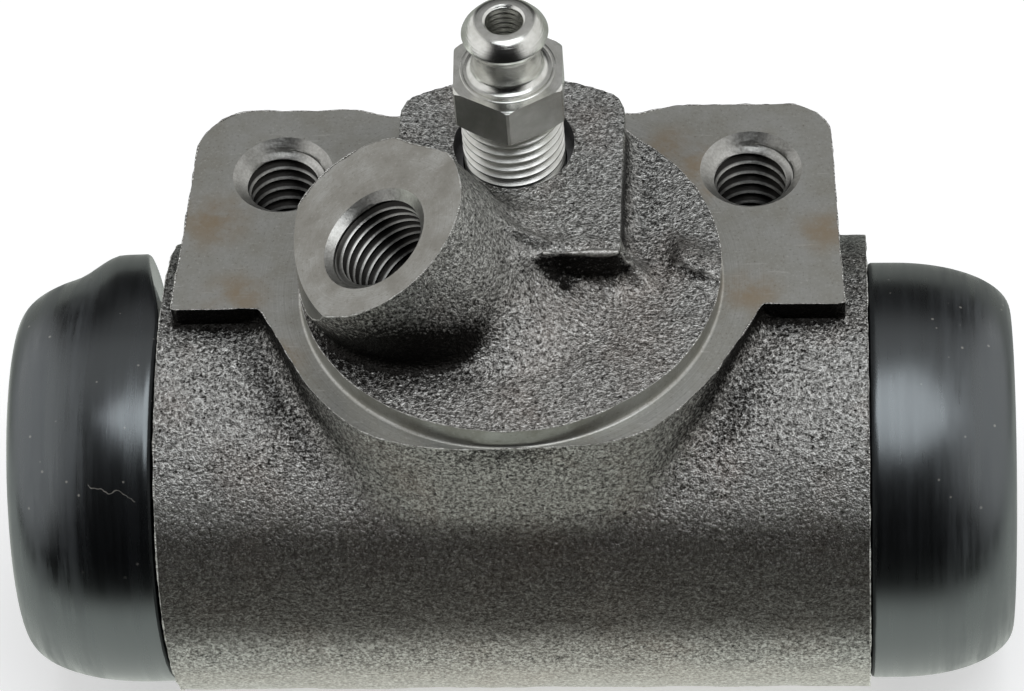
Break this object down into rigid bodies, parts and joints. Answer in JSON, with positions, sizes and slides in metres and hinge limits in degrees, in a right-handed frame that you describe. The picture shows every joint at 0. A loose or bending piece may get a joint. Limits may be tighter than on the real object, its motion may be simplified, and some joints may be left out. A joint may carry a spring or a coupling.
{
  "type": "wheel cylinder",
  "caption": "Hydraulic wheel cylinder of a drum brake: cast barrel with a piloted mounting face, slanted inlet port, bleeder screw and rubber boots over sprung pistons.",
  "frame": {"origin": "centre of the turned pilot, on the mounting face", "axes": "+Z out of the mounting face along the pilot, +X along the bore, +Y from the pilot towards the ears' far edge"},
  "size_m": [0.0952, 0.0463, 0.0696],
  "materials": {
    "cast_iron": "sand cast, with machined mounting face, pilot and port",
    "plated_steel": "bright zinc plate",
    "boot_rubber": "satin black moulded rubber",
    "piston_alloy": "anodised",
    "cup_rubber": "matt black moulded rubber",
    "spring_steel": "plain"
  },
  "bodies": {
    "housing": {"cylinder_body": "cast_iron", "left_boot": "boot_rubber", "right_boot": "boot_rubber", "return_spring": "spring_steel"},
    "bleeder": {"bleeder_screw": "plated_steel"},
    "left_piston_set": {"left_piston": "piston_alloy", "left_cup": "cup_rubber", "left_cup_expander": "spring_steel"},
    "right_piston_set": {"right_piston": "piston_alloy", "right_cup": "cup_rubber", "right_cup_expander": "spring_steel"}
  },
  "joints": [
    {"name": "bleeder_turn", "type": "hinge", "parent": "housing", "child": "bleeder", "pos_m": [0.0003, 0.0108, 0.0074], "axis": [0, 0, 1], "range_deg": [0, 360]},
    {"name": "left_piston_slide", "type": "slide", "parent": "housing", "child": "left_piston_set", "axis": [1, 0, 0], "range_m": [0, 0.01], "stiffness_N_per_m": 350, "springref_m": -0.03, "deforming": ["return_spring"]},
    {"name": "right_piston_slide", "type": "slide", "parent": "housing", "child": "right_piston_set", "axis": [-1, 0, 0], "range_m": [0, 0.01], "stiffness_N_per_m": 350, "springref_m": -0.03, "deforming": ["return_spring"]}
  ]
}
